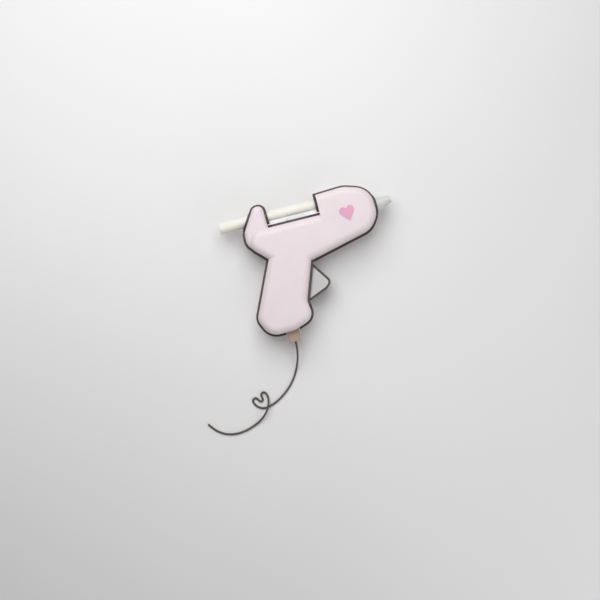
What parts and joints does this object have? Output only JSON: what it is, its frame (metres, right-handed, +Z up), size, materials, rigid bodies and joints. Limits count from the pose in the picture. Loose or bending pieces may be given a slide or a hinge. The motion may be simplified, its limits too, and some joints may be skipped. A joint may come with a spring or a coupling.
{
  "type": "hot melt glue gun",
  "caption": "Pale pink hot-melt glue gun lying on its side, with a glue stick through its rear guide, a conical nozzle, a grey trigger and a short looped cord.",
  "frame": {"origin": "under the middle of the box of the gun without its cord, on the surface it lies on", "axes": "+X along the glue stick towards the nozzle, +Y across the gun from the grip to the barrel top, +Z up out of the side that faces up"},
  "size_m": [0.2337, 0.2196, 0.0365],
  "materials": {
    "pink_shell": "fine satin moulded plastic",
    "dark_trim": "matt",
    "heart_pink": "satin",
    "stick_cream": "waxy, slightly translucent",
    "white_nylon": "satin",
    "black_silicone": "matt",
    "cast_alu": "as cast",
    "nozzle_metal": "bead blasted",
    "spring_steel": "drawn",
    "screw_steel": "zinc plated",
    "brass": "bright",
    "ceramic": "matt",
    "mica": "film",
    "trigger_grey": "fine satin",
    "relief_brown": "matt",
    "cord_grey": "matt",
    "lead_brown": "satin",
    "lead_blue": "satin"
  },
  "bodies": {
    "housing": {"lower_housing": "pink_shell", "upper_housing": "pink_shell", "housing_screws": "screw_steel", "edge_trim": "dark_trim", "heart_badge": "heart_pink", "rear_guide_bush": "black_silicone", "feed_rail": "white_nylon", "inlet_collar": "black_silicone", "collar_clamp": "spring_steel", "melt_block": "cast_alu", "melt_plug": "screw_steel", "ptc_heaters": "ceramic", "heater_electrode": "brass", "heater_insulator": "mica", "heater_band": "spring_steel", "chamber_holder": "mica", "nozzle": "nozzle_metal", "nozzle_collar": "black_silicone", "check_spring": "spring_steel", "return_spring": "spring_steel", "trigger_pin": "screw_steel", "strain_relief": "relief_brown", "cord_tail": "cord_grey", "cord_clamp": "white_nylon", "clamp_screws": "screw_steel", "live_lead": "lead_brown", "neutral_lead": "lead_blue", "crimp_terminals": "brass", "power_cord": "cord_grey"},
    "feed_carriage": {"feed_carriage": "white_nylon", "drive_pin": "screw_steel", "jaw_pin": "screw_steel"},
    "grip_jaw": {"grip_jaw": "white_nylon"},
    "trigger": {"trigger": "trigger_grey", "trigger_rim": "dark_trim"},
    "glue_stick": {"glue_stick": "stick_cream"},
    "check_ball": {"check_ball": "screw_steel"}
  },
  "joints": [
    {"name": "trigger_pull", "type": "hinge", "parent": "housing", "child": "trigger", "pos_m": [-0.01442, -0.00343, 0.018], "axis": [0, 0, -1], "range_deg": [0, 20], "stiffness_Nm_per_rad": 0.6, "springref_deg": -14.32},
    {"name": "carriage_feed", "type": "slide", "parent": "housing", "child": "feed_carriage", "axis": [1, 0, 0], "range_m": [0, 0.01473], "deforming": ["return_spring"]},
    {"name": "jaw_bite", "type": "hinge", "parent": "feed_carriage", "child": "grip_jaw", "pos_m": [-0.03002, 0.03717, 0.018], "axis": [0, 0, 1], "range_deg": [0, 4.05]},
    {"name": "stick_slide", "type": "slide", "parent": "feed_carriage", "child": "glue_stick", "axis": [1, 0, 0], "range_m": [-0.105, 0]},
    {"name": "check_valve", "type": "slide", "parent": "housing", "child": "check_ball", "axis": [0.9867, 0.1625, 0], "range_m": [0, 0.001], "stiffness_N_per_m": 150, "springref_m": -0.002, "deforming": ["check_spring"]}
  ],
  "couplings": [
    {"joint": "carriage_feed", "follows": "trigger_pull", "m_per_rad": 0.041926},
    {"joint": "jaw_bite", "follows": "trigger_pull", "ratio": 0.2}
  ]
}
